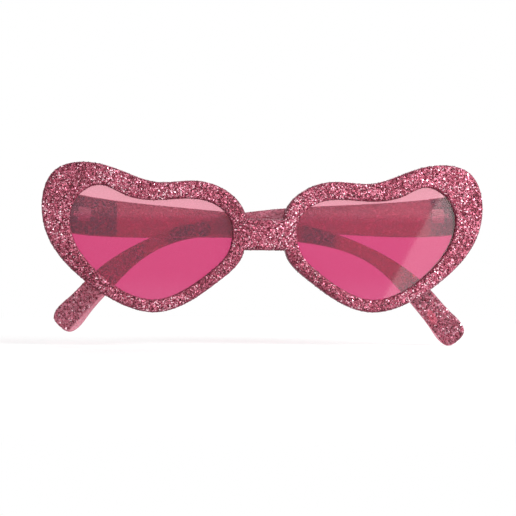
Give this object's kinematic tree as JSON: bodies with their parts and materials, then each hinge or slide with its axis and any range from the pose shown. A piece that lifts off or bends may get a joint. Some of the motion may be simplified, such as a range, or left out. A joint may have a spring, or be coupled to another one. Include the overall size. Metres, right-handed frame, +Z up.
{
  "type": "heart-shaped sunglasses",
  "caption": "Sunglasses with heart-shaped glitter rims, tinted flat lenses and hinged temples that fold flat behind the front.",
  "frame": {"origin": "middle of the bridge, on the front's face", "axes": "+X along the front to the viewer's right, +Y from the front's face to the back, +Z up as worn"},
  "size_m": [0.1482, 0.0127, 0.0612],
  "materials": {
    "glitter_front": "pink glitter in clear lacquer",
    "glitter_temple": "pink glitter plastic",
    "lens_tint": "clear pink tint, polished",
    "hinge_steel": "plain nickel"
  },
  "bodies": {
    "front": {"front_frame": "glitter_front", "left_lens": "lens_tint", "right_lens": "lens_tint", "left_front_hinge_leaf": "hinge_steel", "right_front_hinge_leaf": "hinge_steel", "left_hinge_screw": "hinge_steel", "right_hinge_screw": "hinge_steel"},
    "left_arm": {"left_temple": "glitter_temple", "left_temple_hinge_leaf": "hinge_steel"},
    "right_arm": {"right_temple": "glitter_temple", "right_temple_hinge_leaf": "hinge_steel"}
  },
  "joints": [
    {"name": "left_hinge", "type": "hinge", "parent": "front", "child": "left_arm", "pos_m": [-0.0635, 0.0064, 0.0069], "axis": [0.0802, 0, 0.9968], "range_deg": [0, 90.9]},
    {"name": "right_hinge", "type": "hinge", "parent": "front", "child": "right_arm", "pos_m": [0.0635, 0.0064, 0.0069], "axis": [0.0454, 0, -0.999], "range_deg": [0, 88.34]}
  ]
}
